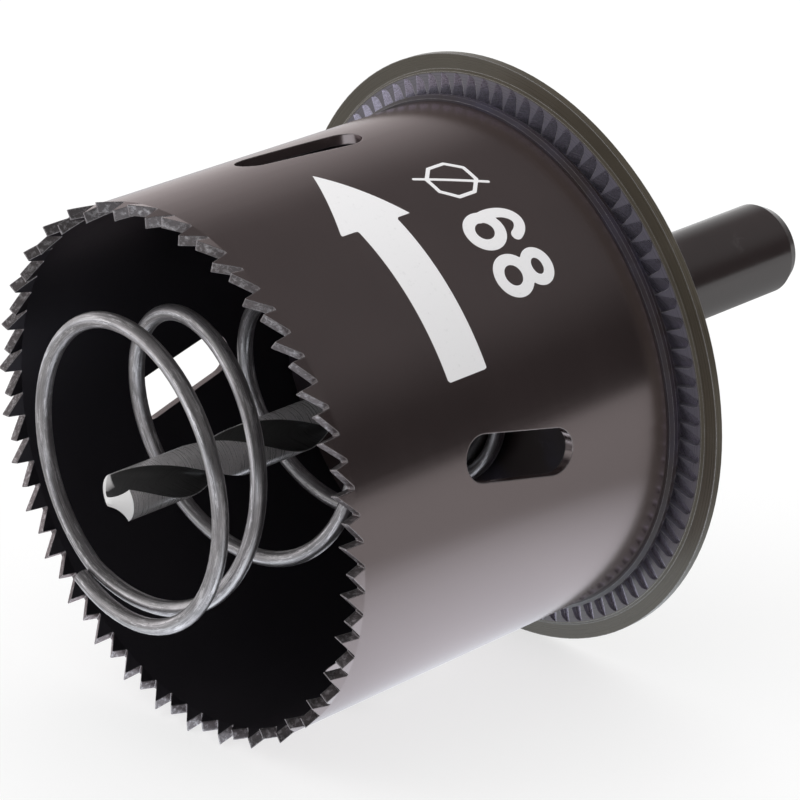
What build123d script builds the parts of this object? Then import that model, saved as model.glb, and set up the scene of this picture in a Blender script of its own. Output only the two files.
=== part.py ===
from build123d import *

import os
from math import atan2, cos, degrees, pi, radians, sin, tan

# Hole saw for hollow-wall boxes: a toothed steel cup, a countersink disc that doubles as the
# depth stop, an arbor with a pilot drill, and a conical spring that pushes out the core.
# Tool frame: +Z along the spin axis from the shank to the teeth, z = 0 on the tooth tips,
# angles counter-clockwise seen from the teeth, which is the way the saw turns when it cuts.
# Lengths are millimetres and angles degrees.

# Saw cup
cut_d = 68.0            # hole it cuts, across the tips of the outward-set teeth
cup_d = 67.0
cup_wall = 1.3
cup_depth = 44.0        # tooth tips to the floor inside
tooth_count = 66        # even: the teeth are set outward and inward in turn
tooth_h = 2.1
tooth_face_lean = 6.0   # the cutting face leans back from the tip
tooth_land = 0.15       # width of the ground tip
gullet_w = 0.35
tooth_phase = 50.0      # angle of one outward-set tip
slot_count = 4          # slanted slots that clear the chips
slot_len = 16.7
slot_w = 5.7
slot_depth = 26.6       # tooth tips to the middle of a slot
slot_slant = 13.8
slot_phase = 5.6

# Base plate, brazed into the cup
plug_len = 6.5          # part of it inside the cup
lip_d = 68.4            # rim that the end of the cup butts on
lip_h = 1.0
neck_d = 66.4           # recess between the rim and the countersink disc
neck_h = 1.35
edge_chamfer = 0.4

# Countersink disc and depth stop
stop_d = 78.0
stop_t = 1.4
ring_d = 73.5           # raised band that carries the milled teeth
ring_h = 0.3            # how far the teeth stand above the stop face
mill_count = 90
mill_depth = 0.85       # of a gullet at the neck
mill_end_depth = 0.45
mill_outer_d = 73.1     # the gullets end inside the edge of the band
mill_land = 0.1

# Arbor
hub_d = 14.0            # thicker part, pressed through the plate and the disc
shank_d = 12.5
shank_len = 49.2        # what a chuck can reach, behind the disc
shank_chamfer = 1.6
collar_d = 24.0
collar_h = 8.0          # the last coil of the spring grips it
collar_chamfer = 1.0

# Pilot drill and its grub screw
drill_d = 6.0
drill_len = 80.0
drill_reach = 9.0       # point ahead of the tooth tips
drill_point = 118.0
flute_len = 42.0
flute_lead = 36.0
flute_r = 2.1
web_t = 1.2
drill_phase = -35.0     # angle of a flute at the point
flat_depth = 0.5        # ground flat under the screw
flat_len = 9.0
screw_d = 5.0
screw_key = 2.5         # across the flats of its socket
screw_socket = 1.8
screw_behind = 8.0      # back of the disc to the screw's axis
screw_angle = -150.0

# Ejector spring
wire_d = 2.0
front_coil_d = 38.0     # across the middle of the wire, first coil
nested_coil_d = 35.8    # second coil, which nests behind the first
front_reach = 5.6       # middle of the wire at its free end, ahead of the tooth tips
nested_rise = 1.65
open_turns = 2.85
spring_phase = -122.0
lean = 2.6              # the free end stands this much to one side
lean_angle = 117.0
arcs_per_turn = 8

# Clearances
press = 0.01            # between parts pressed or brazed together
slide = 0.05            # drill in its bore
coil_gap = 0.12         # last coil of the spring to the collar and the floor

# Places along the axis, from the tooth tips back
floor_z = -cup_depth
cup_end_z = floor_z - plug_len
lip_end_z = cup_end_z - lip_h
disc_z = lip_end_z - neck_h
stop_z = disc_z - ring_h
disc_back_z = stop_z - stop_t
shank_end_z = disc_back_z - shank_len
screw_z = disc_back_z - screw_behind
drill_end_z = drill_reach - drill_len
collar_z = floor_z + collar_h
seat_z = floor_z + wire_d / 2 + coil_gap        # last coil of the spring
open_z = seat_z + wire_d + coil_gap             # where its open coils begin

cup_r = cup_d / 2
bore_r = cup_r - cup_wall


def turned(outline):
    """A turned piece from its half outline of (radius, z) points."""
    return revolve(Plane.XZ * make_face(Polyline(*outline, close=True)), Axis.Z)


def toothed_crown(first, tooth_set):
    """Every second saw tooth, leaning sideways from its root to its tip by the set."""
    pitch = pi * cup_d / tooth_count
    foot = tooth_h * tan(radians(tooth_face_lean))
    tooth = make_face(Polyline(
        (foot, -2 * tooth_h), (foot, -tooth_h), (0, 0), (-tooth_land, 0),
        (foot + gullet_w - pitch, -tooth_h), (foot + gullet_w - pitch, -2 * tooth_h), close=True))
    prism = extrude(Plane.YZ.offset(bore_r - cup_wall) * tooth, 3 * cup_wall)
    turn = 2 * 360 / tooth_count
    prisms = [Rot(0, 0, first + i * turn) * prism for i in range(tooth_count // 2)]
    ring = turned([(bore_r, -1.2 * tooth_h), (cup_r, -1.2 * tooth_h), (cup_r, -tooth_h),
                   (cup_r + tooth_set, 0), (bore_r + tooth_set, 0), (bore_r, -tooth_h)])
    return [prism & ring for prism in prisms]


def make_saw_cup():
    tube = turned([(bore_r, cup_end_z), (cup_r, cup_end_z), (cup_r, -tooth_h), (bore_r, -tooth_h)])
    tooth_set = (cut_d - cup_d) / 2
    half_pitch = 360 / tooth_count
    teeth = toothed_crown(tooth_phase, tooth_set) + toothed_crown(tooth_phase + half_pitch, -tooth_set)
    slot = extrude(Plane.YZ * Pos(0, -slot_depth) * SlotOverall(slot_len, slot_w, 90 - slot_slant), cup_d)
    slots = [Rot(0, 0, slot_phase + i * 360 / slot_count) * slot for i in range(slot_count)]
    return tube.fuse(*teeth).cut(*slots)


def make_base_plate():
    plug_r = bore_r - press
    lip_r, neck_r = lip_d / 2, neck_d / 2
    seat_r = hub_d / 2 + press
    return turned([
        (seat_r, floor_z), (plug_r - edge_chamfer, floor_z), (plug_r, floor_z - edge_chamfer),
        (plug_r, cup_end_z), (lip_r - edge_chamfer, cup_end_z), (lip_r, cup_end_z - edge_chamfer),
        (lip_r, lip_end_z), (neck_r, lip_end_z), (neck_r, disc_z), (seat_r, disc_z)])


def make_countersink_disc():
    """The band's teeth are a sawtooth seen edge on; a gullet gets shallower toward its round outer end."""
    ring_r, stop_r = ring_d / 2, stop_d / 2
    seat_r = hub_d / 2 + press
    blank = turned([
        (seat_r, disc_z), (ring_r, disc_z), (ring_r + ring_h, stop_z), (stop_r, stop_z),
        (stop_r, disc_back_z + edge_chamfer), (stop_r - edge_chamfer, disc_back_z), (seat_r, disc_back_z)])
    inner_r = neck_d / 2
    reach = mill_outer_d / 2 - inner_r
    width = 2 * pi * inner_r / mill_count - mill_land
    rise = degrees(atan2(mill_depth - mill_end_depth, reach))
    wedge = make_face(Polyline((0, mill_depth), (0, -mill_depth), (2 * width, mill_depth), close=True))
    wedge = extrude(Plane.YZ.offset(-mill_depth) * Pos(-width / 2, 0) * wedge, mill_depth + 2 * reach)
    plan = extrude(Plane.XY.offset(-2 * mill_depth) * SlotOverall(2 * reach, width), 4 * mill_depth)
    gullet = Pos(inner_r, 0, disc_z) * (Rot(0, -rise, 0) * wedge & plan)
    return blank.cut(*[Rot(0, 0, i * 360 / mill_count) * gullet for i in range(mill_count)])


def make_arbor():
    shank_r, hub_r, collar_r = shank_d / 2, hub_d / 2, collar_d / 2
    body = turned([
        (0, shank_end_z), (shank_r - shank_chamfer / 2, shank_end_z), (shank_r, shank_end_z + shank_chamfer),
        (shank_r, disc_back_z), (hub_r, disc_back_z), (hub_r, floor_z), (collar_r, floor_z),
        (collar_r, collar_z - collar_chamfer), (collar_r - collar_chamfer, collar_z), (0, collar_z)])
    drill_hole = Pos(0, 0, drill_end_z - slide) * Cylinder(
        drill_d / 2 + slide, collar_z - drill_end_z + 1, align=(Align.CENTER, Align.CENTER, Align.MIN))
    screw_hole = screw_axis() * Cylinder(
        screw_d / 2 + press, shank_d, align=(Align.CENTER, Align.CENTER, Align.MIN))
    return body - drill_hole - screw_hole


def screw_axis():
    """Frame on the spin axis at the grub screw, its Z pointing out through the shank."""
    return Rot(0, 0, screw_angle) * Pos(0, 0, screw_z) * Rot(0, 90, 0)


def make_grub_screw():
    tip = drill_d / 2 - flat_depth + press
    length = shank_d / 2 - tip - edge_chamfer
    body = Pos(0, 0, tip) * Cylinder(screw_d / 2, length, align=(Align.CENTER, Align.CENTER, Align.MIN))
    body = chamfer(body.edges().filter_by(GeomType.CIRCLE), edge_chamfer)
    socket = extrude(Plane.XY.offset(tip + length) * RegularPolygon(screw_key / 2, 6, major_radius=False),
                     -screw_socket)
    return screw_axis() * (body - socket)


def make_pilot_drill():
    radius = drill_d / 2
    point_h = radius / tan(radians(drill_point / 2))
    flute_start = drill_reach - flute_len
    stock = turned([(0, drill_end_z), (radius - edge_chamfer, drill_end_z), (radius, drill_end_z + edge_chamfer),
                    (radius, drill_reach - point_h), (0, drill_reach)])
    flute_x = web_t / 2 + flute_r
    section = Circle(radius + slide) - Pos(flute_x, 0) * Circle(flute_r) - Pos(-flute_x, 0) * Circle(flute_r)
    turn = 360 * flute_len / flute_lead
    section = Rot(0, 0, drill_phase - turn) * section
    fluted = Solid.extrude_linear_with_rotation(
        Pos(0, 0, flute_start) * section.face(), (0, 0, flute_start), (0, 0, flute_len), turn)
    plain = Pos(0, 0, flute_start) * Cylinder(
        drill_d, drill_len, align=(Align.CENTER, Align.CENTER, Align.MAX))
    flat = screw_axis() * Pos(0, 0, radius - flat_depth) * Box(
        flat_len, drill_d, drill_d, align=(Align.CENTER, Align.CENTER, Align.MIN))
    return (stock & (plain + fluted)) - flat


def coil(turns, total):
    """Place along the axis and radius of the wire's middle, so many turns from the free end."""
    nested_r, seat_r = nested_coil_d / 2, (collar_d + wire_d) / 2 + coil_gap
    if turns < 1:
        return front_reach - nested_rise * turns, front_coil_d / 2 * (1 - turns) + nested_r * turns
    if turns < total - 1:
        share = (turns - 1) / open_turns
        return (front_reach - nested_rise) * (1 - share) + open_z * share, nested_r * (1 - share) + seat_r * share
    return seat_z + (wire_d + coil_gap) * (total - turns), seat_r


def spring_point(turns, total):
    """Middle of the wire, the pitch easing over from each stretch to the next."""
    half_arc = 0.5 / arcs_per_turn
    (z_0, r_0), (z_1, r_1) = coil(turns - half_arc, total), coil(turns + half_arc, total)
    z, r = (z_0 + z_1) / 2, (r_0 + r_1) / 2
    angle, aside = radians(spring_phase + 360 * turns), radians(lean_angle)
    share = max(0, (z - open_z) / (front_reach - open_z))
    tilt = lean / (front_reach - open_z) * r * cos(angle - aside) * share
    return Vector(r * cos(angle) + lean * share * cos(aside),
                  r * sin(angle) + lean * share * sin(aside), z - tilt)


def make_ejector_spring():
    """The wire follows short arcs, each tangent to the one before."""
    total = open_turns + 2
    steps = round(total * arcs_per_turn)
    points = [spring_point(total * i / steps, total) for i in range(steps + 1)]
    heading = spring_point(0.01, total) - points[0]
    arcs = []
    for start, end in zip(points, points[1:]):
        arcs.append(Edge.make_tangent_arc(start, heading, end))
        heading = arcs[-1] % 1
    path = Wire(arcs)
    wire_end = Plane(origin=path @ 0, z_dir=path % 0)
    return sweep(wire_end * Circle(wire_d / 2), path=path)


def lay_down(pieces):
    """The saw lies on the rim of the disc and on its tooth tips, nose down, teeth towards -Y."""
    nose_down = degrees(atan2((stop_d - cut_d) / 2, -stop_z))
    laid = {name: Rot(90 + nose_down, 0, 0) * piece for name, piece in pieces.items()}
    box = Compound(list(laid.values())).bounding_box()
    to_origin = Pos(0, -box.center().Y, -box.min.Z)
    return {name: to_origin * piece for name, piece in laid.items()}


pieces = lay_down({
    "saw_cup": make_saw_cup(),
    "base_plate": make_base_plate(),
    "countersink_disc": make_countersink_disc(),
    "arbor": make_arbor(),
    "grub_screw": make_grub_screw(),
    "pilot_drill": make_pilot_drill(),
    "ejector_spring": make_ejector_spring(),
})

os.makedirs("parts", exist_ok=True)
for name, piece in pieces.items():
    piece.label = name
    export_step(piece, f"parts/{name}.step")
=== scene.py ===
"""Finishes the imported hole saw: oxide steel, bright drill, wound spring, white print and a plain studio."""

from math import cos, pi, radians, sin, tau

import bmesh
import bpy
import numpy as np
from bpy.props import FloatProperty, FloatVectorProperty, IntProperty, PointerProperty
from mathutils import Matrix, Vector


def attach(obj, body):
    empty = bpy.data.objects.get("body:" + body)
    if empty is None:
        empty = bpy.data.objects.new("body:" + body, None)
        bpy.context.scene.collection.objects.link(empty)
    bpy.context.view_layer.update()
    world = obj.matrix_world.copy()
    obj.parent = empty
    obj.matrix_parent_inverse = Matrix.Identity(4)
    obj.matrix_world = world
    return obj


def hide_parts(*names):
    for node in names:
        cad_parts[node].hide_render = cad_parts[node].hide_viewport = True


bl_info = {
    "name": "Hole saw",
    "version": (1, 0, 0),
    "blender": (4, 5, 0),
    "location": "3D View > Sidebar > Hole saw",
    "description": "Finishes a hole saw: its cup, countersink disc, arbor, pilot drill, spring and print",
    "category": "Mesh",
}

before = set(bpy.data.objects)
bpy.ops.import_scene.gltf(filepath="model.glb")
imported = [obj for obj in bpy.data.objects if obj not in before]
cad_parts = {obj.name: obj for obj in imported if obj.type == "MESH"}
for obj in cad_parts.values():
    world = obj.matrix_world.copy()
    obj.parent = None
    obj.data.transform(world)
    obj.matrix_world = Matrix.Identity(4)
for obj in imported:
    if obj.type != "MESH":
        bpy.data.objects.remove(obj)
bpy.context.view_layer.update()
MM = 0.001
SMALL = 0.001 * MM       # two places nearer than this are one
TINY = 1e-9              # keeps a division from meeting zero
CREASE = radians(50)     # an edge bent more than this stays sharp
MIDDLING = (0.3, 0.7)    # the values that a noise takes on most of a surface
CLOUDY = (0.42, 0.68)    # the values between which a cloud fades in


# Settings

def length(name, description, default):
    return FloatProperty(name=name, description=description, default=default * MM, unit="LENGTH", precision=5)


def colour(name, description, default):
    return FloatVectorProperty(
        name=name, description=description, default=default, size=3, min=0, max=1, subtype="COLOR")


def angle(name, description, default):
    return FloatProperty(name=name, description=description, default=radians(default), subtype="ANGLE")


def strength(name, description, default):
    return FloatProperty(name=name, description=description, default=default, min=0)


class HolesawPlace(bpy.types.PropertyGroup):
    """Where the tool's own axes stand: +Z along the spin axis to the teeth, its zero on the tooth tips."""
    mouth: FloatVectorProperty(
        name="Mouth", description="Middle of the circle of tooth tips", size=3, subtype="TRANSLATION",
        default=(0, -0.047422, 0.0338505))
    nose_down: angle("Nose down", "How far the spin axis dips towards the teeth", 5.3742)
    cup_radius: length("Cup radius", "Outside of the cup's wall", 33.5)
    tooth_height: length("Tooth height", "Tooth tips to the bottom of the gullets", 2.1)
    ink_depth: length("Ink depth", "Thickness of the printed ink", 0.05)
    drill_radius: length("Drill radius", "Radius of the drill's lands", 3.0)
    drill_reach: length("Drill reach", "Drill's point ahead of the tooth tips", 9.0)
    drill_point: length("Drill point", "Length of the ground point", 2.0)
    drill_turn: angle("Drill turn", "How far the front of the drill is turned from the packed one", -48)
    drill_cut: length("Drill cut", "Where the turned front begins, behind the tooth tips in the collar", 40.0)
    band_radius: length("Band radius", "Outer end of the milled gullets", 36.6)
    band_behind: length("Band behind", "Front of the milled band, behind the tooth tips", 52.85)


class HolesawSpring(bpy.types.PropertyGroup):
    """The conical ejector spring, coil by coil from its free end."""
    wire: length("Wire", "Diameter of the wire", 2.0)
    front_coil: length("Front coil", "Across the middle of the wire at the free end", 38.0)
    nested_coil: length("Second coil", "Across the middle of the wire where the second coil begins", 35.8)
    seat_coil: length("Last coil", "Across the middle of the wire on the collar", 26.24)
    reach: length("Reach", "Middle of the wire at its free end, ahead of the tooth tips", 5.6)
    nested_rise: length("First pitch", "How far the second coil stands behind the first", 1.65)
    open_end: length("End of the open coils", "Where the last coil begins, behind the tooth tips", 40.76)
    seat: length("Seat", "Middle of the wire at its gripped end, behind the tooth tips", 42.88)
    open_turns: FloatProperty(
        name="Open turns", description="Turns between the first and the last coil", default=2.85)
    phase: angle("Free end", "Angle of the free end round the axis", -122)
    lean: length("Lean", "How far the free end stands to one side", 2.6)
    lean_angle: angle("Lean direction", "Direction in which the free end leans", 117)
    steps: IntProperty(name="Points", description="Points along the wire", default=360, min=60)
    sides: IntProperty(name="Sides", description="Sides of the wire", default=24, min=8)


class HolesawFinish(bpy.types.PropertyGroup):
    """Colours of the finishes, with some painted glints, highlights and sheen among them."""
    cup_oxide: colour("Cup oxide", "Black oxide of the cup, plate, shank and screw", (0.042, 0.030, 0.030))
    inside_oxide: colour("Oxide inside", "Dull black inside the cup", (0.052, 0.051, 0.065))
    disc_oxide: colour("Disc oxide", "Olive black oxide of the countersink disc", (0.078, 0.067, 0.051))
    # Milled steel: bare tempered steel in the gullets, made pale lilac as a painted sheen
    milled_steel_sheen: colour("Milled steel", "Tempered steel of the milled gullets", (0.62, 0.58, 0.72))
    temper: colour("Temper tint", "Faint violet tint in the oxide of the base plate", (0.050, 0.044, 0.070))
    ground_steel: colour("Ground steel", "Bare steel on the ground backs of the teeth", (0.30, 0.28, 0.29))
    # Bright edge: bare steel where edges are rubbed, and also a painted glint laid on every sharp edge
    bright_edge: colour("Bright edge", "Steel where an edge is rubbed bare", (0.68, 0.66, 0.68))
    drill_steel: colour("Drill steel", "Bright steel of the pilot drill", (0.86, 0.83, 0.84))
    flute_black: colour("Flute black", "Rolled skin in the flutes of the drill", (0.02, 0.02, 0.02))
    # Ground point: ground steel, painted near white as the glare of the point's facets
    ground_point_glare: colour("Ground point", "Freshly ground point of the drill", (0.98, 0.97, 0.97))
    # Drill edge: rubbed steel and a painted glint on the drill's sharp edges
    drill_edge: colour("Drill edge", "Painted glints and rubbed edges of the drill", (0.90, 0.88, 0.88))
    spring_steel: colour("Spring steel", "Drawn wire of the spring", (0.82, 0.78, 0.80))
    # Rubbed wire: pale streaks along the wire, partly bare rubbed wire, partly painted highlights
    rubbed_wire_glint: colour("Rubbed wire", "Streaks where the wire is rubbed bare", (0.97, 0.94, 0.96))
    ink: colour("Ink", "Printed arrow and size", (0.93, 0.92, 0.93))


class HolesawStudio(bpy.types.PropertyGroup):
    """Camera, floor and lights."""
    lens: FloatProperty(
        name="Lens", description="Focal length on a 36 mm sensor, in millimetres", default=151.6)
    eye: FloatVectorProperty(
        name="Eye", description="Place of the camera", size=3, subtype="TRANSLATION",
        default=(0.3016, -0.27442, 0.16825))
    view: FloatVectorProperty(
        name="View", description="Direction that the camera looks in", size=3, subtype="DIRECTION",
        default=(-0.7147, 0.6250, -0.3140))
    floor_radius: length("Floor radius", "Radius of the floor", 600)
    floor_tone: colour("Floor", "Colour of the floor", (0.38, 0.38, 0.38))
    floor_lift: strength("Floor lift", "Light added to the floor where the camera sees it", 0.66)
    key_power: strength("Key light", "Power of the lamp in front, in watts", 1.1)
    back_power: strength("Back light", "Power of the lamp behind, in watts", 0.88)
    sky: strength("Room light", "Strength of the even light of the room", 0.85)
    near_glow: strength("Near glow", "Reflected brightness of the floor by the saw", 1.3)
    left_glow: strength("Left glow", "Reflected brightness of the floor far to the left", 0.6)
    front_glow: strength("Front glow", "Reflected brightness of the floor before the saw", 0.65)
    sweep_glow: strength("Sweep glow", "Reflected brightness of the white sweep", 1.05)
    sweep_turn: angle("Sweep turn", "Direction in which the white sweep stands", 185)
    ceiling_glow: strength("Ceiling glow", "Reflected brightness of the dark ceiling", 0.08)


# Nodes

def plug(tree, node, name, value):
    """Gives an input its value, or links the socket that is passed."""
    if isinstance(value, bpy.types.NodeSocket):
        tree.links.new(value, node.inputs[name])
    else:
        node.inputs[name].default_value = value


def add(tree, kind, inputs=None, **settings):
    node = tree.nodes.new(kind)
    for name, value in settings.items():
        setattr(node, name, value)
    for name, value in (inputs or {}).items():
        plug(tree, node, name, value)
    return node


def maths(tree, operation, *values, clamp=False):
    node = add(tree, "ShaderNodeMath", dict(enumerate(values)), operation=operation, use_clamp=clamp)
    return node.outputs[0]


def vectors(tree, operation, *values):
    node = add(tree, "ShaderNodeVectorMath", dict(enumerate(values)), operation=operation)
    return node.outputs["Value" if operation in ("DOT_PRODUCT", "LENGTH") else "Vector"]


def ramp(tree, value, low, high, start=0.0, end=1.0, smooth=False):
    """value between low and high becomes start to end, and is held beyond them."""
    node = add(tree, "ShaderNodeMapRange", {
        "Value": value, "From Min": low, "From Max": high, "To Min": start, "To Max": end})
    node.interpolation_type = "SMOOTHSTEP" if smooth else "LINEAR"
    return node.outputs["Result"]


def both(tree, first, second):
    """Product of two masks."""
    return maths(tree, "MULTIPLY", first, second)


def either(tree, first, second):
    """The greater of two masks."""
    return maths(tree, "MAXIMUM", first, second)


def blend(tree, share, first, second):
    """Colour between two colours."""
    node = add(tree, "ShaderNodeMix", data_type="RGBA")
    colours = [s for s in node.inputs if s.type == "RGBA"]
    for socket, value in ((node.inputs[0], share), (colours[0], first), (colours[1], second)):
        if isinstance(value, bpy.types.NodeSocket):
            tree.links.new(value, socket)
        else:
            socket.default_value = (*value, 1) if socket.type == "RGBA" else value
    return next(s for s in node.outputs if s.type == "RGBA")


def shaded(colour_value, share):
    """The same colour, darker or lighter."""
    return [min(1, c * share) for c in colour_value]


def speckle(tree, vector, scale, detail=4.0, roughness=0.55):
    node = add(tree, "ShaderNodeTexNoise", {
        "Vector": vector, "Scale": scale, "Detail": detail, "Roughness": roughness})
    return node.outputs["Fac"]


def new_group(name, kind, outputs, inputs=()):
    """An empty node group with named sockets, given as (name, type, value)."""
    tree = bpy.data.node_groups.new(name, kind)
    for label, socket in outputs:
        tree.interface.new_socket(name=label, in_out="OUTPUT", socket_type="NodeSocket" + socket)
    for label, socket, value in inputs:
        item = tree.interface.new_socket(name=label, in_out="INPUT", socket_type="NodeSocket" + socket)
        if value is not None:
            item.default_value = value
    return tree, tree.nodes.new("NodeGroupInput"), tree.nodes.new("NodeGroupOutput")


def group_node(tree, name, **inputs):
    return add(tree, "ShaderNodeGroup", {k.replace("_", " "): v for k, v in inputs.items()},
               node_tree=bpy.data.node_groups[name])


def place_group():
    """Where a point of the surface is in the tool's own axes, in millimetres."""
    place = bpy.context.scene.holesaw_place
    tree, _, out = new_group("Tool place", "ShaderNodeTree", [
        ("Place", "Vector"), ("Round", "Vector"), ("Radius", "Float"), ("Ahead", "Float"),
        ("Outward", "Float"), ("Facing", "Float")])
    spot = add(tree, "ShaderNodeMapping", {
        "Vector": tree.nodes.new("ShaderNodeTexCoord").outputs["Object"], "Location": place.mouth,
        "Rotation": (pi / 2 + place.nose_down, 0, 0), "Scale": (MM, MM, MM)},
        vector_type="TEXTURE").outputs[0]
    x, y, z = add(tree, "ShaderNodeSeparateXYZ", {0: spot}).outputs
    flat = add(tree, "ShaderNodeCombineXYZ", {"X": x, "Y": y}).outputs[0]
    around = vectors(tree, "NORMALIZE", flat)
    facing = add(tree, "ShaderNodeVectorRotate", {
        "Vector": tree.nodes.new("ShaderNodeNewGeometry").outputs["Normal"],
        "Angle": -pi / 2 - place.nose_down}, rotation_type="X_AXIS").outputs[0]
    for name, value in (
            ("Place", spot), ("Round", around), ("Radius", vectors(tree, "LENGTH", flat)), ("Ahead", z),
            ("Outward", vectors(tree, "DOT_PRODUCT", facing, around)),
            ("Facing", add(tree, "ShaderNodeSeparateXYZ", {0: facing}).outputs["Z"])):
        plug(tree, out, name, value)


def turning_group():
    """Fine lines left by the lathe: rings on a face and hoops on a wall."""
    tree, given, out = new_group("Turning lines", "ShaderNodeTree", [("Height", "Float")], [
        ("Lines per mm", "Float", 6.0), ("Waver", "Float", 0.7)])
    spot = group_node(tree, "Tool place")
    slanted = 1.37       # faces and walls both get lines, and a chamfer of 45 degrees isn't left without
    across = maths(tree, "MULTIPLY_ADD", spot.outputs["Radius"], slanted, spot.outputs["Ahead"])
    lines = add(tree, "ShaderNodeTexNoise", {
        "Vector": vectors(tree, "MULTIPLY", spot.outputs["Round"], given.outputs["Waver"]),
        "W": maths(tree, "MULTIPLY", across, given.outputs["Lines per mm"]),
        "Scale": 1.0, "Detail": 3.0, "Roughness": 0.7}, noise_dimensions="4D")
    plug(tree, out, "Height", lines.outputs["Fac"])


def handling_group():
    """Uneven oxide: soft clouds, a fine grain, and thin scuffs where the saw was handled."""
    tree, given, out = new_group("Handling", "ShaderNodeTree", [
        ("Clouds", "Float"), ("Grain", "Float"), ("Scuffs", "Float")], [("Scuff share", "Float", 0.5)])
    spot = group_node(tree, "Tool place").outputs["Place"]
    clouds = speckle(tree, spot, 0.09, detail=3.0)
    grain = speckle(tree, spot, 5.5, detail=2.0)
    cells = add(tree, "ShaderNodeTexNoise", {
        "Vector": vectors(tree, "MULTIPLY", spot, (1.4, 0.5, 1.1)), "Scale": 1.3, "Detail": 6.0,
        "Roughness": 0.7, "Distortion": 2.2})
    thin = maths(tree, "ABSOLUTE", maths(tree, "SUBTRACT", cells.outputs["Fac"], 0.5))
    lines = ramp(tree, thin, 0.0, 0.006, 1.0, 0.0)
    places = ramp(tree, speckle(tree, spot, 0.35, detail=2.0), 0.62, 0.70)
    scuffs = both(tree, both(tree, lines, places), given.outputs["Scuff share"])
    for name, value in (("Clouds", clouds), ("Grain", grain), ("Scuffs", scuffs)):
        plug(tree, out, name, value)


def edge_group():
    """Share of bright metal along sharp edges, partly rubbed bare and partly a painted glint, and the normal
    of those edges as they are broken.
    """
    tree, given, out = new_group("Painted glints and rubbed edges", "ShaderNodeTree", [
        ("Edge", "Float"), ("Normal", "Vector")], [("Width", "Float", 0.15)])
    wide = add(tree, "ShaderNodeBevel", {
        "Radius": maths(tree, "MULTIPLY", given.outputs["Width"], MM)}, samples=6)
    plain = tree.nodes.new("ShaderNodeNewGeometry").outputs["Normal"]
    turned = maths(tree, "SUBTRACT", 1.0, vectors(tree, "DOT_PRODUCT", wide.outputs[0], plain))
    plug(tree, out, "Edge", ramp(tree, turned, 0.02, 0.16))
    plug(tree, out, "Normal", wide.outputs[0])


def new_material(name, **constants):
    """A material with one Principled shader. The constants are set on its own sockets."""
    material = bpy.data.materials.new(name)
    material.use_nodes = True
    shader = material.node_tree.nodes["Principled BSDF"]
    for label, value in constants.items():
        shader.inputs[label.replace("_", " ")].default_value = value
    return material, material.node_tree, shader


def bumped(tree, shader, height, depth, normal=None):
    """Feeds a height of so many millimetres to the shader."""
    bump = add(tree, "ShaderNodeBump", {"Height": height, "Distance": depth * MM, "Strength": 1.0})
    if normal is not None:
        plug(tree, bump, "Normal", normal)
    plug(tree, shader, "Normal", bump.outputs["Normal"])


def cup_material():
    """Bronzed oxide outside, dull black inside, bare ground steel on the backs of the teeth, and bright sharp
    edges, partly rubbed bare and partly a painted glint.
    """
    finish, place = bpy.context.scene.holesaw_finish, bpy.context.scene.holesaw_place
    material, tree, shader = new_material("bronzed_steel", IOR=3.8, Specular_Tint=(1.0, 0.86, 0.86, 1.0))
    spot, care = group_node(tree, "Tool place"), group_node(tree, "Handling", Scuff_share=0.25)
    edge = group_node(tree, "Painted glints and rubbed edges", Width=0.2)
    lines = group_node(tree, "Turning lines", Lines_per_mm=7.0, Waver=1.1).outputs[0]
    inside = ramp(tree, spot.outputs["Outward"], -0.2, -0.6)
    gullet = -place.tooth_height / MM
    crown = ramp(tree, spot.outputs["Ahead"], gullet - 0.12, gullet + 0.02)
    sideways = maths(tree, "ABSOLUTE", spot.outputs["Outward"])
    ground = both(tree, crown, ramp(tree, sideways, 0.75, 0.6))
    ground = both(tree, ground, ramp(tree, care.outputs["Grain"], 0.25, 0.6, 0.55, 1.0))
    # The ground tooth backs, and sharp edges that are partly rubbed and partly a painted glint
    worn_and_glint = either(tree, ground, both(tree, edge.outputs["Edge"], 0.6))
    clouds = ramp(tree, care.outputs["Clouds"], 0.35, 0.65)
    oxide = blend(tree, clouds, finish.cup_oxide, shaded(finish.cup_oxide, 0.86))
    oxide = blend(tree, inside, oxide, finish.inside_oxide)
    oxide = blend(tree, care.outputs["Scuffs"], oxide, shaded(finish.ground_steel, 0.5))
    flecks = ramp(tree, speckle(tree, spot.outputs["Place"], 1.7, detail=5.0, roughness=0.7), 0.5, 0.66)
    steel = blend(tree, flecks, shaded(finish.ground_steel, 0.6), finish.bright_edge)
    # Painted glint: sharp edges take the bright edge colour, partly as bare rubbed steel
    steel = blend(tree, edge.outputs["Edge"], steel, finish.bright_edge)
    plug(tree, shader, "Base Color", blend(tree, worn_and_glint, oxide, steel))
    plug(tree, shader, "Metallic", either(tree, both(tree, worn_and_glint, 0.9), both(tree, inside, 0.85)))
    satin = maths(tree, "MULTIPLY_ADD", inside, 0.22, ramp(tree, lines, *MIDDLING, 0.17, 0.23))
    plug(tree, shader, "Roughness", maths(tree, "MULTIPLY_ADD", ground, 0.2, satin))
    height = maths(tree, "MULTIPLY_ADD", care.outputs["Grain"], 0.6, lines)
    bumped(tree, shader, height, 0.0012, edge.outputs["Normal"])
    return material


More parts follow.
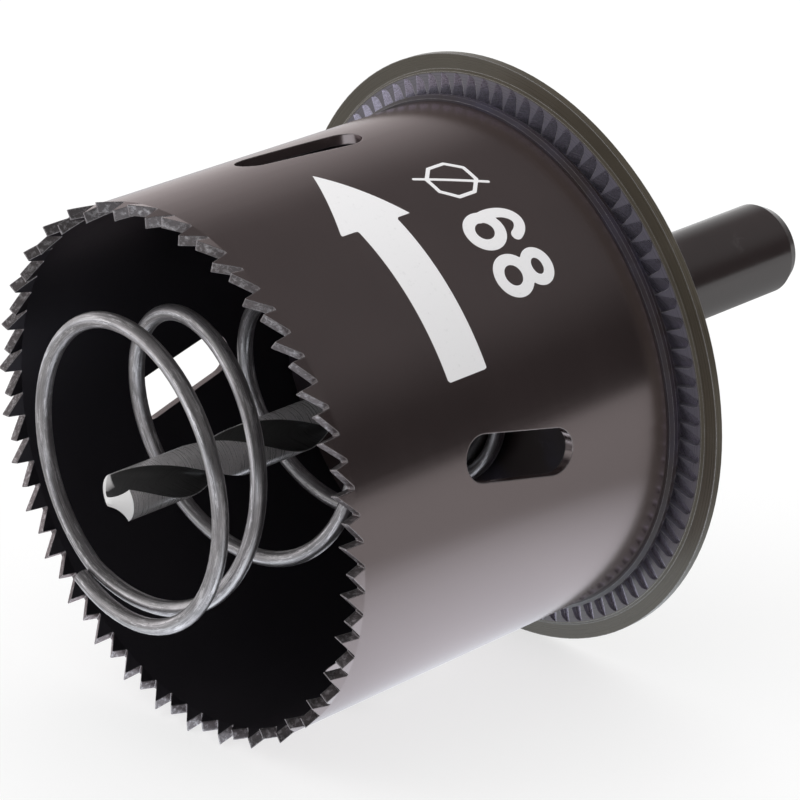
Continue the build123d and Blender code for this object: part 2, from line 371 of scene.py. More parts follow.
def oxide_material(name, base, tint, line_depth, lines_per_mm, satin, edge_wear_and_glint, mirror=2.6):
    """Black oxide on turned steel, with bright edges that are partly rubbed bare and partly a painted glint.
    """
    finish = bpy.context.scene.holesaw_finish
    material, tree, shader = new_material(name, IOR=mirror)
    care = group_node(tree, "Handling", Scuff_share=0.7)
    edge = group_node(tree, "Painted glints and rubbed edges", Width=0.12)
    lines = group_node(tree, "Turning lines", Lines_per_mm=lines_per_mm, Waver=0.8).outputs[0]
    shade = blend(tree, ramp(tree, care.outputs["Clouds"], *CLOUDY), base, tint)
    grain = ramp(tree, care.outputs["Grain"], 0.35, 0.7, 0.0, 0.35)
    shade = blend(tree, grain, shade, shaded(base, 0.55))
    # Sharp edges turn bright: partly rubbed bare, partly a painted glint
    rubbed = both(tree, edge.outputs["Edge"], ramp(tree, care.outputs["Grain"], 0.3, 0.65, 0.3, 1.0))
    worn_and_glint = either(tree, both(tree, rubbed, edge_wear_and_glint), both(tree, care.outputs["Scuffs"], 0.6))
    plug(tree, shader, "Base Color", blend(tree, worn_and_glint, shade, finish.bright_edge))
    plug(tree, shader, "Metallic", both(tree, worn_and_glint, 0.8))
    plug(tree, shader, "Roughness", ramp(tree, lines, *MIDDLING, satin - 0.04, satin + 0.05))
    height = maths(tree, "MULTIPLY_ADD", care.outputs["Grain"], 0.5, lines)
    bumped(tree, shader, height, line_depth, edge.outputs["Normal"])
    return material


def disc_material():
    """Olive black oxide, bright edges that are partly rubbed and partly a painted glint, and milled gullets
    with painted sheen and shade: pale lilac steel on the sloped tooth backs, a dark copy of it on their other
    faces.
    """
    finish, place = bpy.context.scene.holesaw_finish, bpy.context.scene.holesaw_place
    material, tree, shader = new_material("milled_steel_sheen", IOR=1.6, Specular_Tint=(1.0, 0.92, 0.78, 1.0))
    spot, care = group_node(tree, "Tool place"), group_node(tree, "Handling", Scuff_share=0.5)
    edge = group_node(tree, "Painted glints and rubbed edges", Width=0.18)
    lines = group_node(tree, "Turning lines", Lines_per_mm=5.0, Waver=0.8).outputs[0]
    rim, front = place.band_radius / MM, -place.band_behind / MM
    band = both(tree, ramp(tree, spot.outputs["Radius"], rim + 0.05, rim - 0.05),
                ramp(tree, spot.outputs["Ahead"], front - 1.2, front - 1.0))
    # The sloped tooth backs take the pale painted sheen, the rest of the band the painted shade
    sloped = both(tree, ramp(tree, spot.outputs["Facing"], 0.5, 0.8),
                  ramp(tree, spot.outputs["Facing"], 0.99, 0.97))
    milled = both(tree, band, sloped)
    clouds = ramp(tree, care.outputs["Clouds"], *CLOUDY)
    shade = blend(tree, clouds, finish.disc_oxide, shaded(finish.disc_oxide, 1.2))
    grain = ramp(tree, care.outputs["Grain"], 0.4, 0.65)
    steel = blend(tree, grain, finish.milled_steel_sheen, shaded(finish.milled_steel_sheen, 0.6))
    # Painted shade: the band takes a dark copy of the milled steel, then its sloped backs the pale painted
    # sheen
    shade = blend(tree, band, shade, shaded(finish.milled_steel_sheen, 0.26))
    shade = blend(tree, milled, shade, steel)
    # Sharp edges turn bright: partly rubbed bare, partly a painted glint
    rubbed = both(tree, edge.outputs["Edge"], ramp(tree, care.outputs["Grain"], 0.3, 0.6, 0.5, 1.0))
    worn_and_glint = either(tree, rubbed, both(tree, care.outputs["Scuffs"], 0.6))
    plug(tree, shader, "Base Color", blend(tree, worn_and_glint, shade, finish.bright_edge))
    plug(tree, shader, "Metallic", both(tree, either(tree, worn_and_glint, milled), 0.8))
    plug(tree, shader, "Roughness", ramp(tree, lines, *MIDDLING, 0.24, 0.34))
    height = maths(tree, "MULTIPLY_ADD", care.outputs["Grain"], 0.5, lines)
    bumped(tree, shader, height, 0.004, edge.outputs["Normal"])
    return material


def drill_material():
    """Bright ground steel: fine lines round the lands, black rolled flutes, a pale ground point painted near
    white as the glare of its facets, and sharp edges that are partly rubbed and partly a painted glint.
    """
    finish, place = bpy.context.scene.holesaw_finish, bpy.context.scene.holesaw_place
    material, tree, shader = new_material("bright_steel", Specular_IOR_Level=0.15)
    spot, care = group_node(tree, "Tool place"), group_node(tree, "Handling", Scuff_share=0.4)
    edge = group_node(tree, "Painted glints and rubbed edges", Width=0.1)
    lines = group_node(tree, "Turning lines", Lines_per_mm=9.0, Waver=0.5).outputs[0]
    land, point_end = place.drill_radius / MM, (place.drill_reach - place.drill_point) / MM
    flute = ramp(tree, spot.outputs["Radius"], land - 0.04, land - 0.16)
    point = both(tree, ramp(tree, spot.outputs["Ahead"], point_end - 0.1, point_end + 0.1),
                 ramp(tree, spot.outputs["Facing"], 0.2, 0.4))
    dull = both(tree, flute, maths(tree, "SUBTRACT", 1.0, point))
    shade = blend(tree, ramp(tree, lines, 0.35, 0.7), finish.drill_steel, shaded(finish.drill_steel, 0.86))
    grain = ramp(tree, care.outputs["Grain"], 0.5, 0.75, 0.0, 0.5)
    shade = blend(tree, grain, shade, shaded(finish.drill_steel, 0.5))
    shade = blend(tree, both(tree, dull, 0.96), shade, finish.flute_black)
    # Painted highlight: the ground point is near white and hardly metallic, as the glare of its facets
    shade = blend(tree, point, shade, finish.ground_point_glare)
    # Painted glint: sharp edges take the pale drill edge colour, partly as rubbed steel
    shade = blend(tree, both(tree, edge.outputs["Edge"], 0.8), shade, finish.drill_edge)
    plug(tree, shader, "Base Color", shade)
    plug(tree, shader, "Metallic", ramp(tree, either(tree, point, dull), 0, 1, 0.7, 0.1))
    rough = ramp(tree, lines, *MIDDLING, 0.24, 0.34)
    plug(tree, shader, "Roughness", maths(tree, "MULTIPLY_ADD", point, 0.25, rough))
    height = maths(tree, "MULTIPLY_ADD", care.outputs["Grain"], 0.7, lines)
    bumped(tree, shader, height, 0.0014, edge.outputs["Normal"])
    return material


def wire_material():
    """Drawn spring wire, with die lines that run along it and a thin grey film. Paler patches are painted
    highlights, and near-white streaks are partly bare rubbed wire, partly painted highlights.
    """
    finish = bpy.context.scene.holesaw_finish
    material, tree, shader = new_material("spring_steel")
    wire = add(tree, "ShaderNodeAttribute", attribute_name="wire").outputs["Vector"]

    def drawn(around, along, detail, roughness=0.55):
        """Noise with so many marks to a millimetre round the wire and along it."""
        stretched = vectors(tree, "MULTIPLY", wire, (around, around, along))
        return speckle(tree, stretched, 1.0, detail, roughness)

    fine, broad = drawn(9.0, 0.12, 5.0, 0.65), drawn(2.2, 0.05, 2.0)
    film = drawn(0.8, 0.22, 4.0, 0.6)
    pits = ramp(tree, drawn(3.0, 1.6, 3.0), 0.66, 0.74)
    rubbed = ramp(tree, drawn(2.6, 0.3, 5.0, 0.7), 0.54, 0.64)
    steel = finish.spring_steel
    shade = blend(tree, ramp(tree, fine, 0.36, 0.62), shaded(steel, 0.42), steel)
    shade = blend(tree, ramp(tree, film, 0.42, 0.62, 0.0, 0.75), shade, shaded(steel, 0.4))
    # Painted highlight: broad patches get a lighter copy of the steel
    shade = blend(tree, ramp(tree, broad, 0.55, 0.75, 0.0, 0.6), shade, shaded(steel, 1.6))
    # Near-white streaks: partly bare rubbed wire, partly painted highlights
    shade = blend(tree, rubbed, shade, finish.rubbed_wire_glint)
    shade = blend(tree, pits, shade, shaded(steel, 0.35))
    plug(tree, shader, "Base Color", shade)
    plug(tree, shader, "Metallic", ramp(tree, film, 0.3, 0.75, 1.0, 0.82))
    plug(tree, shader, "Roughness", ramp(tree, fine, *MIDDLING, 0.42, 0.26))
    height = maths(tree, "MULTIPLY_ADD", pits, -0.8, maths(tree, "MULTIPLY_ADD", broad, 1.2, fine))
    bumped(tree, shader, height, 0.012)
    return material


def ink_material():
    """Pad-printed white ink: matt, a little uneven, thin enough in spots to let the steel darken it."""
    finish = bpy.context.scene.holesaw_finish
    material, tree, shader = new_material("white_ink")
    spot = group_node(tree, "Tool place").outputs["Place"]
    thin = ramp(tree, speckle(tree, spot, 1.6, detail=6.0, roughness=0.65), 0.60, 0.74, 0.0, 0.22)
    screen = speckle(tree, spot, 7.0, detail=2.0)
    plug(tree, shader, "Base Color", blend(tree, thin, finish.ink, shaded(finish.ink, 0.45)))
    plug(tree, shader, "Roughness", ramp(tree, screen, *MIDDLING, 0.48, 0.62))
    bumped(tree, shader, screen, 0.004)
    return material


# Pieces

def finish_node(name, material):
    """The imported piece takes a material, and keeps its shape."""
    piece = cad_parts[name]
    piece.data.materials.clear()
    piece.data.materials.append(material)


def new_piece(name, mesh):
    piece = bpy.data.objects.new(name, mesh)
    bpy.context.scene.collection.objects.link(piece)
    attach(piece, "root")
    return piece


def tool_matrix():
    """From the tool's own axes to the floor's."""
    place = bpy.context.scene.holesaw_place
    return Matrix.Translation(place.mouth) @ Matrix.Rotation(pi / 2 + place.nose_down, 4, "X")


# The print is drawn in millimetres: x runs round the cup against its turn, y from the teeth to the shank

def ellipse_stroke(grid, middle, radii, width):
    """Distance outside an oval ring drawn with a pen of that width."""
    flat = (grid - middle) / radii
    away = np.linalg.norm(flat, axis=-1)
    slope = np.linalg.norm(flat / radii, axis=-1) + TINY
    return np.abs(away * (away - 1) / slope) - width / 2


def pen_stroke(grid, points, width):
    """Distance outside a line of straight strokes with round ends."""
    nearest = np.full(grid.shape[:-1], np.inf)
    for start, end in zip(points, points[1:]):
        start, end = np.array(start), np.array(end)
        along = end - start
        share = np.clip(((grid - start) @ along) / (along @ along), 0, 1)
        nearest = np.minimum(nearest, np.linalg.norm(grid - start - share[..., None] * along, axis=-1))
    return nearest - width / 2


def hull(grid, corners):
    """Distance outside a convex shape with its corners clockwise."""
    furthest = np.full(grid.shape[:-1], -np.inf)
    for start, end in zip(corners, corners[1:] + corners[:1]):
        start, side = np.array(start), np.array(end) - np.array(start)
        out = np.array((-side[1], side[0])) / np.linalg.norm(side)
        furthest = np.maximum(furthest, (grid - start) @ out)
    return furthest


def turn_arrow(grid):
    """The way it turns: a broad head on a plain shaft, with its tip at the far end."""
    head = hull(grid, [(-47.24, 21.6), (-35.64, 26.9), (-35.64, 16.4)])
    shaft = hull(grid, [(-36.0, 24.8), (-14.38, 24.8), (-14.38, 18.9), (-36.0, 18.9)])
    return np.minimum(head, shaft)


def diameter_sign(grid):
    turns = [pi / 8 + k * pi / 4 for k in range(9)]
    ring = pen_stroke(grid, [(-38.4 + 3.17 * cos(a), 35.82 + 3.17 * sin(a)) for a in turns], 0.5)
    return np.minimum(ring, pen_stroke(grid, [(-40.45, 31.55), (-36.2, 39.85)], 0.42))


def digit_six(grid):
    bowl = ellipse_stroke(grid, (-29.85, 34.15), (2.0, 2.06), 1.55)
    swing = [radians(a) for a in range(36, 205, 6)]
    tail = pen_stroke(grid, [(-29.75 + 2.12 * cos(a), 35.9 + 3.38 * sin(a)) for a in swing], 1.45)
    return np.minimum(bowl, tail)


def digit_eight(grid):
    low = ellipse_stroke(grid, (-23.42, 34.15), (2.1, 1.97), 1.5)
    return np.minimum(low, ellipse_stroke(grid, (-23.5, 38.0), (1.8, 1.48), 1.42))


# Each printed shape, the corners of the field that it is drawn in, and the size of the field's cells
PRINTED = (
    (turn_arrow, (-47.6, 16.0), (-14.0, 27.2), 0.35),
    (diameter_sign, (-42.0, 31.0), (-35.0, 40.4), 0.14),
    (digit_six, (-33.2, 30.8), (-26.4, 40.6), 0.18),
    (digit_eight, (-26.7, 30.8), (-20.2, 40.6), 0.18))
PRINT_WELD = 0.004       # corners of neighbouring cells nearer than this are one


def outline_polygons(shape, low, high, cell):
    """Small flat polygons that fill where the shape's distance is below zero."""
    columns, rows = (int(round((b - a) / cell)) + 1 for a, b in zip(low, high))
    xs, ys = np.linspace(low[0], high[0], columns), np.linspace(low[1], high[1], rows)
    grid = np.stack(np.meshgrid(xs, ys, indexing="ij"), axis=-1)
    away = shape(grid)
    for i in range(columns - 1):
        for j in range(rows - 1):
            spots = [(i, j), (i + 1, j), (i + 1, j + 1), (i, j + 1)]
            if min(away[s] for s in spots) >= 0:
                continue
            polygon = []
            for here, there in zip(spots, spots[1:] + spots[:1]):
                a, b = away[here], away[there]
                if a < 0:
                    polygon.append(tuple(grid[here]))
                if (a < 0) != (b < 0):
                    share = a / (a - b)
                    polygon.append(tuple(grid[here] * (1 - share) + grid[there] * share))
            if len(polygon) > 2:
                yield polygon


def print_mesh(radius, thickness):
    """Ink wrapped on the cup, half of its thickness in the wall. Both sizes are in millimetres."""
    book = bmesh.new()
    for shape, low, high, cell in PRINTED:
        for polygon in outline_polygons(shape, low, high, cell):
            book.faces.new([book.verts.new((x, y, 0)) for x, y in polygon])
    bmesh.ops.remove_doubles(book, verts=book.verts, dist=PRINT_WELD)
    bmesh.ops.dissolve_degenerate(book, dist=PRINT_WELD, edges=book.edges)
    skin = bmesh.ops.extrude_face_region(book, geom=book.faces[:])
    for v in (v for v in skin["geom"] if isinstance(v, bmesh.types.BMVert)):
        v.co.z = thickness
    for v in book.verts:
        turn, away = -v.co.x / radius, radius + v.co.z - thickness / 2
        v.co = Vector((away * cos(turn), away * sin(turn), -v.co.y)) * MM
    bmesh.ops.recalc_face_normals(book, faces=book.faces)
    book.transform(tool_matrix())
    mesh = bpy.data.meshes.new("cup_print")
    book.to_mesh(mesh)
    book.free()
    return mesh


def turned_drill_mesh(packed, behind, turn):
    """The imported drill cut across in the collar: its front turns, its back keeps its flat under the screw.

    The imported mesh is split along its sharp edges. The splits are merged, and those edges stay sharp.
    """
    whole, mesh = bmesh.new(), bpy.data.meshes.new("turned_pilot_drill")
    for in_front in (True, False):
        book = bmesh.new()
        book.from_mesh(packed)
        book.transform(tool_matrix().inverted())
        for crease in (edge for edge in book.edges if edge.is_boundary):
            crease.smooth = False
        bmesh.ops.remove_doubles(book, verts=book.verts[:], dist=SMALL)
        bmesh.ops.bisect_plane(
            book, geom=book.verts[:] + book.edges[:] + book.faces[:], plane_co=(0, 0, -behind),
            plane_no=(0, 0, 1), clear_inner=in_front, clear_outer=not in_front)
        ring = [edge for edge in book.edges if edge.is_boundary]
        for cap in bmesh.ops.edgeloop_fill(book, edges=ring)["faces"]:
            cap.normal_update()
            if (cap.normal.z > 0) == in_front:
                cap.normal_flip()
        if in_front:
            book.transform(Matrix.Rotation(turn, 4, "Z"))
        book.transform(tool_matrix())
        book.to_mesh(mesh)
        book.free()
        whole.from_mesh(mesh)
    whole.to_mesh(mesh)
    whole.free()
    return mesh


def spring_tree():
    """The wire follows its pitch and its taper stretch by stretch, then leans as a whole."""
    inputs = [(name, "Float", None) for name in (
        "Wire", "Front Coil", "Second Coil", "Last Coil", "Reach", "First Pitch", "Open End", "Seat",
        "Open Turns", "Free End", "Lean", "Lean Direction")]
    inputs += [(name, kind, None) for name, kind in (
        ("Points", "Int"), ("Sides", "Int"), ("Mouth", "Vector"), ("Tip", "Rotation"), ("Steel", "Material"))]
    tree, given, out = new_group("Conical spring", "GeometryNodeTree", [("Geometry", "Geometry")], inputs)
    size = given.outputs
    line = add(tree, "GeometryNodeCurvePrimitiveLine")
    line = add(tree, "GeometryNodeResampleCurve", {"Curve": line.outputs[0], "Count": size["Points"]})
    factor = tree.nodes.new("GeometryNodeSplineParameter").outputs["Factor"]
    turns = maths(tree, "MULTIPLY", factor, maths(tree, "ADD", size["Open Turns"], 2.0))
    first = maths(tree, "MULTIPLY", turns, 1.0, clamp=True)
    opened = maths(tree, "DIVIDE", maths(tree, "SUBTRACT", turns, 1.0), size["Open Turns"], clamp=True)
    last = maths(tree, "SUBTRACT", maths(tree, "SUBTRACT", turns, 1.0), size["Open Turns"], clamp=True)
    start = maths(tree, "SUBTRACT", size["Reach"], size["First Pitch"])
    back = maths(tree, "MULTIPLY", size["Open End"], -1.0)
    z = maths(tree, "SUBTRACT", size["Reach"], maths(tree, "MULTIPLY", size["First Pitch"], first))
    z = maths(tree, "MULTIPLY_ADD", maths(tree, "SUBTRACT", back, start), opened, z)
    z = maths(tree, "MULTIPLY_ADD", maths(tree, "SUBTRACT", size["Open End"], size["Seat"]), last, z)
    across = maths(tree, "MULTIPLY_ADD", maths(tree, "SUBTRACT", size["Second Coil"], size["Front Coil"]),
                   first, size["Front Coil"])
    across = maths(tree, "MULTIPLY_ADD", maths(tree, "SUBTRACT", size["Last Coil"], size["Second Coil"]),
                   opened, across)
    r = maths(tree, "MULTIPLY", across, 0.5)
    angle_now = maths(tree, "MULTIPLY_ADD", turns, tau, size["Free End"])
    span = maths(tree, "SUBTRACT", size["Reach"], back)
    share = maths(tree, "MAXIMUM", maths(tree, "DIVIDE", maths(tree, "SUBTRACT", z, back), span), 0.0)
    aside = maths(tree, "MULTIPLY", size["Lean"], share)
    swing = maths(tree, "COSINE", maths(tree, "SUBTRACT", angle_now, size["Lean Direction"]))
    tilt = maths(tree, "MULTIPLY", maths(tree, "MULTIPLY", maths(tree, "DIVIDE", aside, span), r), swing)
    spot = add(tree, "ShaderNodeCombineXYZ", {
        "X": maths(tree, "MULTIPLY_ADD", r, maths(tree, "COSINE", angle_now),
                   maths(tree, "MULTIPLY", aside, maths(tree, "COSINE", size["Lean Direction"]))),
        "Y": maths(tree, "MULTIPLY_ADD", r, maths(tree, "SINE", angle_now),
                   maths(tree, "MULTIPLY", aside, maths(tree, "SINE", size["Lean Direction"]))),
        "Z": maths(tree, "SUBTRACT", z, tilt)}).outputs[0]
    wound = add(tree, "GeometryNodeSetPosition", {"Geometry": line.outputs[0], "Position": spot})
    laid = add(tree, "GeometryNodeTransform", {
        "Geometry": wound.outputs[0], "Translation": size["Mouth"], "Rotation": size["Tip"]})
    along = add(tree, "GeometryNodeCaptureAttribute")
    along.capture_items.new("FLOAT", "Along")
    plug(tree, along, "Geometry", laid.outputs[0])
    plug(tree, along, "Along", tree.nodes.new("GeometryNodeSplineParameter").outputs["Length"])
    ring = add(tree, "GeometryNodeCurvePrimitiveCircle", {
        "Resolution": size["Sides"], "Radius": maths(tree, "MULTIPLY", size["Wire"], 0.5)})
    around = add(tree, "GeometryNodeCaptureAttribute")
    around.capture_items.new("VECTOR", "Around")
    plug(tree, around, "Geometry", ring.outputs["Curve"])
    plug(tree, around, "Around", tree.nodes.new("GeometryNodeInputPosition").outputs[0])
    body = add(tree, "GeometryNodeCurveToMesh", {
        "Curve": along.outputs["Geometry"], "Profile Curve": around.outputs["Geometry"], "Fill Caps": True})
    around_mm = vectors(tree, "MULTIPLY", around.outputs["Around"], (1 / MM, 1 / MM, 0))
    along_mm = add(tree, "ShaderNodeCombineXYZ", {
        "Z": maths(tree, "DIVIDE", along.outputs["Along"], MM)}).outputs[0]
    marked = add(tree, "GeometryNodeStoreNamedAttribute", {
        "Geometry": body.outputs[0], "Name": "wire", "Value": vectors(tree, "ADD", around_mm, along_mm)},
        data_type="FLOAT_VECTOR", domain="POINT")
    smooth = add(tree, "GeometryNodeSetShadeSmooth", {"Geometry": marked.outputs[0]})
    real = add(tree, "GeometryNodeRealizeInstances", {"Geometry": smooth.outputs[0]})
    steel = add(tree, "GeometryNodeSetMaterial", {"Geometry": real.outputs[0], "Material": size["Steel"]})
    plug(tree, out, "Geometry", steel.outputs[0])
    return tree


def grown_mesh(name, tree, values):
    """Plain mesh that the tree makes from these named inputs."""
    seed = bpy.data.objects.new(name, bpy.data.meshes.new(name))
    bpy.context.scene.collection.objects.link(seed)
    rule = seed.modifiers.new("Rule", "NODES")
    rule.node_group = tree
    for item in tree.interface.items_tree:
        if item.in_out == "INPUT":
            rule[item.identifier] = values[item.name]
    mesh = bpy.data.meshes.new_from_object(seed.evaluated_get(bpy.context.evaluated_depsgraph_get()))
    bpy.data.objects.remove(seed)
    return mesh


# Operators

class HOLESAW_OT_finishes(bpy.types.Operator):
    """Builds the shared effects: place on the tool, turning lines, handling and rubbed edges"""
    bl_idname = "holesaw.finishes"
    bl_label = "Shared effects"

    def execute(self, context):
        for build in (place_group, turning_group, handling_group, edge_group):
            build()
        return {"FINISHED"}


class HOLESAW_OT_cup(bpy.types.Operator):
    """Finishes the toothed cup"""
    bl_idname = "holesaw.cup"
    bl_label = "Cup"

    def execute(self, context):
        finish_node("saw_cup", cup_material())
        return {"FINISHED"}


class HOLESAW_OT_disc(bpy.types.Operator):
    """Finishes the base plate and the milled countersink disc"""
    bl_idname = "holesaw.disc"
    bl_label = "Disc and base plate"

    def execute(self, context):
        finish = context.scene.holesaw_finish
        finish_node("countersink_disc", disc_material())
        finish_node("base_plate", oxide_material(
            "dark_steel", finish.cup_oxide, finish.temper, line_depth=0.004, lines_per_mm=5.0,
            satin=0.36, edge_wear_and_glint=1.0, mirror=1.45))
        return {"FINISHED"}


class HOLESAW_OT_arbor(bpy.types.Operator):
    """Finishes the arbor and its grub screw"""
    bl_idname = "holesaw.arbor"
    bl_label = "Arbor and screw"

    def execute(self, context):
        finish = context.scene.holesaw_finish
        dull = shaded(finish.cup_oxide, 0.85)
        finish_node("arbor", oxide_material(
            "shank_steel", finish.cup_oxide, dull, line_depth=0.0025, lines_per_mm=6.0,
            satin=0.2, edge_wear_and_glint=0.5))
        finish_node("grub_screw", oxide_material(
            "screw_steel", finish.cup_oxide, dull, line_depth=0.003, lines_per_mm=8.0,
            satin=0.32, edge_wear_and_glint=0.9))
        return {"FINISHED"}


class HOLESAW_OT_drill(bpy.types.Operator):
    """Turns the front of the pilot drill and finishes it"""
    bl_idname = "holesaw.drill"
    bl_label = "Pilot drill"

    def execute(self, context):
        place = context.scene.holesaw_place
        mesh = turned_drill_mesh(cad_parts["pilot_drill"].data, place.drill_cut, place.drill_turn)
        mesh.materials.append(drill_material())
        drill = new_piece("turned_pilot_drill", mesh)
        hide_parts("pilot_drill")
        return {"FINISHED"}


class HOLESAW_OT_spring(bpy.types.Operator):
    """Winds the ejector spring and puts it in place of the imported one"""
    bl_idname = "holesaw.spring"
    bl_label = "Ejector spring"

    def execute(self, context):
        size, place = context.scene.holesaw_spring, context.scene.holesaw_place
        mesh = grown_mesh("ejector_spring_wire", spring_tree(), {
            "Wire": size.wire, "Front Coil": size.front_coil, "Second Coil": size.nested_coil,
            "Last Coil": size.seat_coil, "Reach": size.reach, "First Pitch": size.nested_rise,
            "Open End": size.open_end, "Seat": size.seat, "Open Turns": size.open_turns,
            "Free End": size.phase, "Lean": size.lean, "Lean Direction": size.lean_angle,
            "Points": size.steps, "Sides": size.sides, "Mouth": place.mouth,
            "Tip": (pi / 2 + place.nose_down, 0, 0), "Steel": wire_material()})
        mesh.set_sharp_from_angle(angle=CREASE)
        spring = new_piece("ejector_spring_wire", mesh)
        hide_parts("ejector_spring")
        return {"FINISHED"}


class HOLESAW_OT_print(bpy.types.Operator):
    """Prints the arrow and the cutting diameter on the cup"""
    bl_idname = "holesaw.print"
    bl_label = "Print"

    def execute(self, context):
        place = context.scene.holesaw_place
        mesh = print_mesh(place.cup_radius / MM, place.ink_depth / MM)
        ink = new_piece("cup_print", mesh)
        ink.data.materials.append(ink_material())
        return {"FINISHED"}


class HOLESAW_OT_studio(bpy.types.Operator):
    """Sets the floor, the soft lights and the camera"""
    bl_idname = "holesaw.studio"
    bl_label = "Studio"

    def execute(self, context):
        studio = context.scene.holesaw_studio
        book = bmesh.new()
        bmesh.ops.create_circle(book, cap_ends=True, segments=96, radius=studio.floor_radius)
        mesh = bpy.data.meshes.new("floor")
        book.to_mesh(mesh)
        book.free()
        mesh.materials.append(floor_material())
        floor = bpy.data.objects.new("floor", mesh)
        context.scene.collection.objects.link(floor)
        room_light()
        soft_lamp("key", place=(-0.35, -0.55, 0.75), size=0.55, power=studio.key_power)
        soft_lamp("back", place=(-0.45, 0.45, 0.8), size=0.6, power=studio.back_power)
        camera = bpy.data.objects.new("camera", bpy.data.cameras.new("camera"))
        context.scene.collection.objects.link(camera)
        camera.data.lens, camera.data.sensor_width = studio.lens, 36
        camera.data.clip_start = 0.01
        camera.location = studio.eye
        camera.rotation_euler = Vector(studio.view).to_track_quat("-Z", "Y").to_euler()
        context.scene.camera = camera
        context.scene.view_settings.view_transform = "Standard"
        return {"FINISHED"}


def floor_material():
    """White paper that keeps the shadow: what the lights leave it short of white is added where it is seen.

    In reflections it is bright close to the saw, dark further off, and pale again far left and in front.
    """
    studio = bpy.context.scene.holesaw_studio
    material = bpy.data.materials.new("paper")
    material.use_nodes = True
    tree = material.node_tree
    tree.nodes.clear()
    place = tree.nodes.new("ShaderNodeTexCoord").outputs["Object"]
    grain = ramp(tree, speckle(tree, place, 400.0), *MIDDLING)
    paper = add(tree, "ShaderNodeBsdfDiffuse", {
        "Color": blend(tree, grain, studio.floor_tone, shaded(studio.floor_tone, 0.99))})
    path = tree.nodes.new("ShaderNodeLightPath").outputs
    middle = (0.0, -0.01, 0.0)
    away = vectors(tree, "LENGTH", vectors(tree, "SUBTRACT", place, middle))
    left, front = (vectors(tree, "DOT_PRODUCT", place, way) for way in ((-1, 0, 0), (0, -1, 0)))
    # Each glow fades in or out between two distances in metres
    glow = either(tree, ramp(tree, away, 0.015, 0.078, studio.near_glow, 0.0),
                  ramp(tree, left, 0.1, 0.3, 0.0, studio.left_glow))
    glow = either(tree, glow, ramp(tree, front, 0.14, 0.22, 0.0, studio.front_glow))
    mirrored = both(tree, glow, path["Is Glossy Ray"])
    seen = both(tree, either(tree, path["Is Camera Ray"], path["Is Transmission Ray"]), studio.floor_lift)
    cool = (0.92, 1.0, 1.08)
    lift = add(tree, "ShaderNodeEmission", {
        "Strength": either(tree, mirrored, seen),
        "Color": blend(tree, path["Is Glossy Ray"], (1, 1, 1), cool)})
    lit = add(tree, "ShaderNodeAddShader", {0: paper.outputs[0], 1: lift.outputs[0]})
    add(tree, "ShaderNodeOutputMaterial", {"Surface": lit.outputs[0]})
    return material


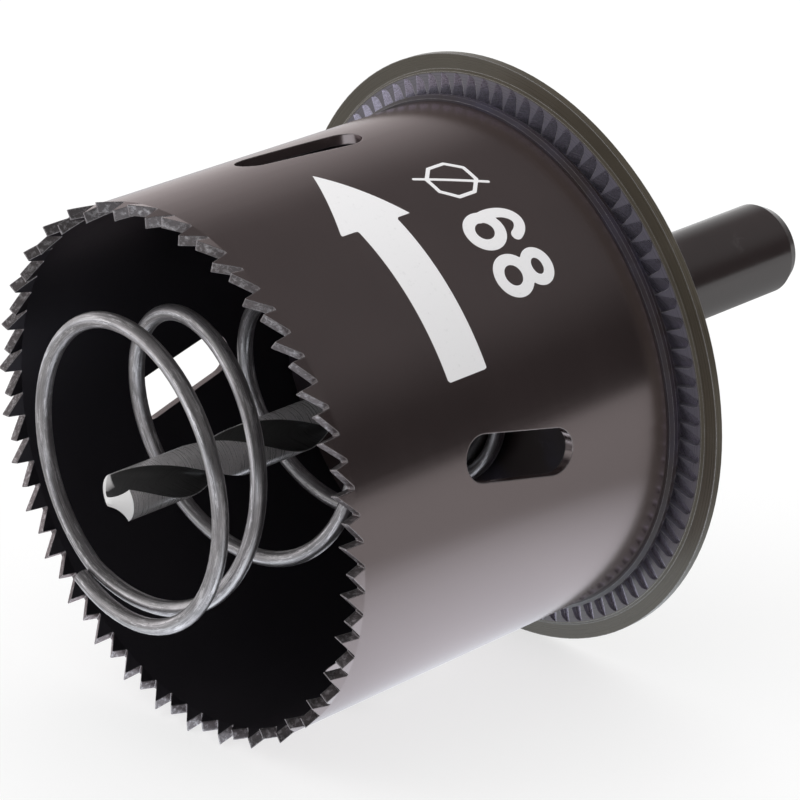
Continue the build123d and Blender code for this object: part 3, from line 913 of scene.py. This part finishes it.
def room_light():
    """White to the camera and even light elsewhere. Reflections see a white sweep under a dark ceiling."""
    studio = bpy.context.scene.holesaw_studio
    world = bpy.data.worlds.new("room")
    world.use_nodes = True
    bpy.context.scene.world = world
    tree = world.node_tree
    tree.nodes.clear()
    way = tree.nodes.new("ShaderNodeTexCoord").outputs["Generated"]
    height = add(tree, "ShaderNodeSeparateXYZ", {0: way}).outputs["Z"]
    sweep_way = (cos(studio.sweep_turn), sin(studio.sweep_turn), 0)
    behind = vectors(tree, "DOT_PRODUCT", way, sweep_way)
    fade = maths(tree, "POWER", ramp(tree, height, 0.0, 0.95, 1.0, 0.0), 1.5)
    sweep = both(tree, fade, ramp(tree, behind, -0.1, 0.6, 0.0, studio.sweep_glow, smooth=True))
    sweep = either(tree, sweep, ramp(tree, height, 0.3, 0.6, 0.0, studio.ceiling_glow))
    path = tree.nodes.new("ShaderNodeLightPath").outputs
    glow = add(tree, "ShaderNodeMix", {0: path["Is Glossy Ray"], 2: studio.sky, 3: sweep}, data_type="FLOAT")
    seen = either(tree, path["Is Camera Ray"], path["Is Transmission Ray"])
    glow = add(tree, "ShaderNodeMix", {0: seen, 2: glow.outputs[0], 3: 1.0}, data_type="FLOAT")
    light = add(tree, "ShaderNodeBackground", {"Color": (1, 1, 1, 1), "Strength": glow.outputs[0]})
    add(tree, "ShaderNodeOutputWorld", {"Surface": light.outputs[0]})


def soft_lamp(name, place, size, power):
    """A square soft box that faces the saw, and that reflections don't see."""
    aim = Vector((0, 0, 0.03))
    lamp = bpy.data.lights.new(name, "AREA")
    lamp.size, lamp.energy = size, power
    box = bpy.data.objects.new(name, lamp)
    bpy.context.scene.collection.objects.link(box)
    box.visible_glossy = False
    box.location = place
    box.rotation_euler = (aim - Vector(place)).to_track_quat("-Z", "Y").to_euler()


STEPS = (HOLESAW_OT_finishes, HOLESAW_OT_cup, HOLESAW_OT_disc, HOLESAW_OT_arbor, HOLESAW_OT_drill,
         HOLESAW_OT_spring, HOLESAW_OT_print, HOLESAW_OT_studio)
SETTINGS = {"holesaw_place": HolesawPlace, "holesaw_spring": HolesawSpring, "holesaw_finish": HolesawFinish,
            "holesaw_studio": HolesawStudio}


class HOLESAW_PT_panel(bpy.types.Panel):
    """Lists the steps that finish the hole saw"""
    bl_idname = "HOLESAW_PT_panel"
    bl_label = "Hole saw"
    bl_space_type = "VIEW_3D"
    bl_region_type = "UI"
    bl_category = "Hole saw"

    def draw(self, context):
        for step in STEPS:
            self.layout.operator(step.bl_idname)
        for name in SETTINGS:
            box, group = self.layout.box(), getattr(context.scene, name)
            for key in group.__annotations__:
                box.prop(group, key)


def register():
    for cls in (*SETTINGS.values(), *STEPS, HOLESAW_PT_panel):
        bpy.utils.register_class(cls)
    for name, cls in SETTINGS.items():
        setattr(bpy.types.Scene, name, PointerProperty(type=cls))


def unregister():
    for name in SETTINGS:
        delattr(bpy.types.Scene, name)
    for cls in reversed((*SETTINGS.values(), *STEPS, HOLESAW_PT_panel)):
        bpy.utils.unregister_class(cls)


def main():
    register()
    for step in STEPS:
        group, name = step.bl_idname.split(".")
        getattr(getattr(bpy.ops, group), name)()


if __name__ == "__main__":
    main()
